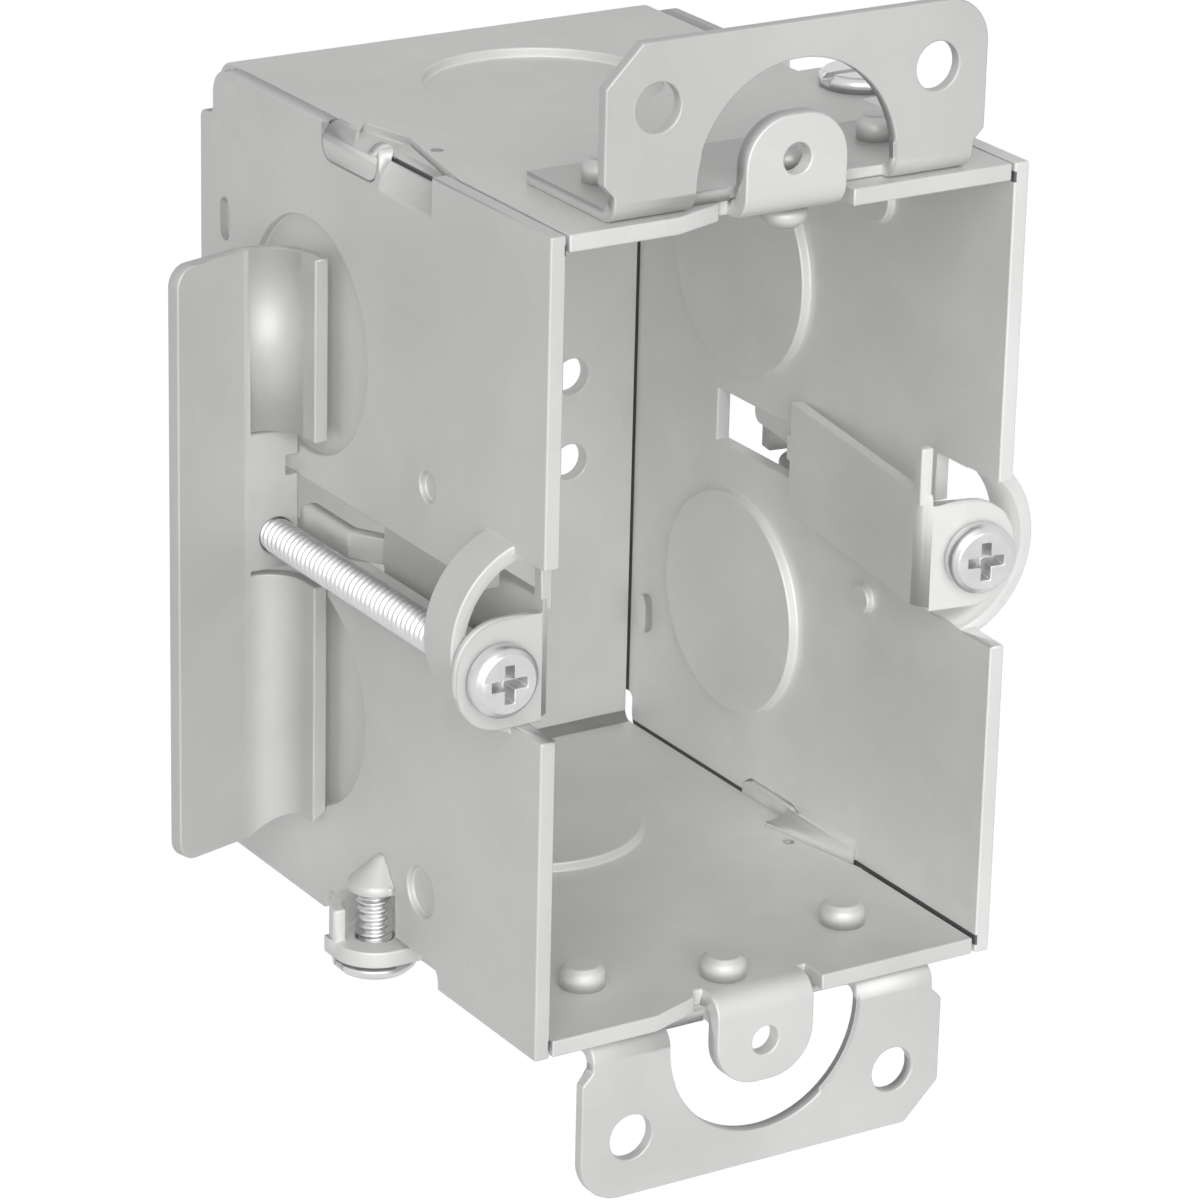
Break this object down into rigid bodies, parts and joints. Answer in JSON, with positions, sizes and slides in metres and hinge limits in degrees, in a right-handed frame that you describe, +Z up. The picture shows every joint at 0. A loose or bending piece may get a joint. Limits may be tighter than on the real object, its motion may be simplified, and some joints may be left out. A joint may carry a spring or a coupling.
{
  "type": "switch box",
  "caption": "Gangable old-work switch box of galvanised sheet steel, with plaster ears, knockouts, removable sides and screw-drawn side grips.",
  "frame": {"origin": "in the plane of the front edges, midway between the two tapped device screw holes", "axes": "+X to the right across the opening, +Y from the open front into the wall, +Z up along the line of the two device screw holes"},
  "size_m": [0.079, 0.0625, 0.1076],
  "materials": {
    "galvanised_sheet": "galvanised, soft satin with faint mottling",
    "zinc_screw": "bright zinc plated",
    "zinc_rivet": "zinc plated, satin"
  },
  "bodies": {
    "box": {"box_strip": "galvanised_sheet", "side_plate_left": "galvanised_sheet", "side_plate_right": "galvanised_sheet", "ear_top": "galvanised_sheet", "ear_bottom": "galvanised_sheet", "grip_arm_left": "galvanised_sheet", "rivet_top_left": "zinc_rivet", "rivet_top_right": "zinc_rivet", "rivet_top_middle": "zinc_rivet", "rivet_bottom_left": "zinc_rivet", "rivet_bottom_right": "zinc_rivet", "rivet_bottom_middle": "zinc_rivet"},
    "plate_screw_left": {"gang_screw_left": "zinc_screw"},
    "plate_screw_right": {"gang_screw_right": "zinc_screw"},
    "left_grip_screw": {"grip_screw_left": "zinc_screw"},
    "left_grip_wing": {"grip_wing_left": "galvanised_sheet"},
    "right_grip": {"grip_arm_right": "galvanised_sheet"},
    "right_grip_screw": {"grip_screw_right": "zinc_screw"},
    "right_grip_wing": {"grip_wing_right": "galvanised_sheet"}
  },
  "joints": [
    {"name": "plate_screw_left_turn", "type": "hinge", "parent": "box", "child": "plate_screw_left", "pos_m": [-0.0253, 0.0275, -0.0381], "axis": [0, 0, -1], "range_deg": [0, 810]},
    {"name": "plate_screw_right_turn", "type": "hinge", "parent": "box", "child": "plate_screw_right", "pos_m": [0.0253, 0.0275, 0.0381], "axis": [0, 0, 1], "range_deg": [0, 810]},
    {"name": "left_grip_draw", "type": "slide", "parent": "box", "child": "left_grip_wing", "axis": [0, -1, 0], "range_m": [-0.00198, 0.025]},
    {"name": "left_grip_turn", "type": "hinge", "parent": "box", "child": "left_grip_screw", "pos_m": [-0.0269, 0.02, -0.0022], "axis": [0, 1, 0], "range_deg": [-901, 11341]},
    {"name": "right_grip_swing", "type": "hinge", "parent": "box", "child": "right_grip", "pos_m": [0.023, 0.0315, 0.0003], "axis": [0, 0, 1], "range_deg": [-0.69, 8.51]},
    {"name": "right_grip_draw", "type": "slide", "parent": "right_grip", "child": "right_grip_wing", "axis": [-0.1478, -0.989, 0], "range_m": [-0.00198, 0.025]},
    {"name": "right_grip_turn", "type": "hinge", "parent": "right_grip", "child": "right_grip_screw", "pos_m": [0.0257, 0.01947, 0.0003], "axis": [0.1478, 0.989, 0], "range_deg": [-901, 11341]}
  ],
  "couplings": [
    {"joint": "left_grip_turn", "follows": "left_grip_draw", "rad_per_m": 7915.8},
    {"joint": "right_grip_turn", "follows": "right_grip_draw", "rad_per_m": 7915.8},
    {"joint": "right_grip_swing", "follows": "right_grip_draw", "rad_per_m": 5.9334}
  ]
}
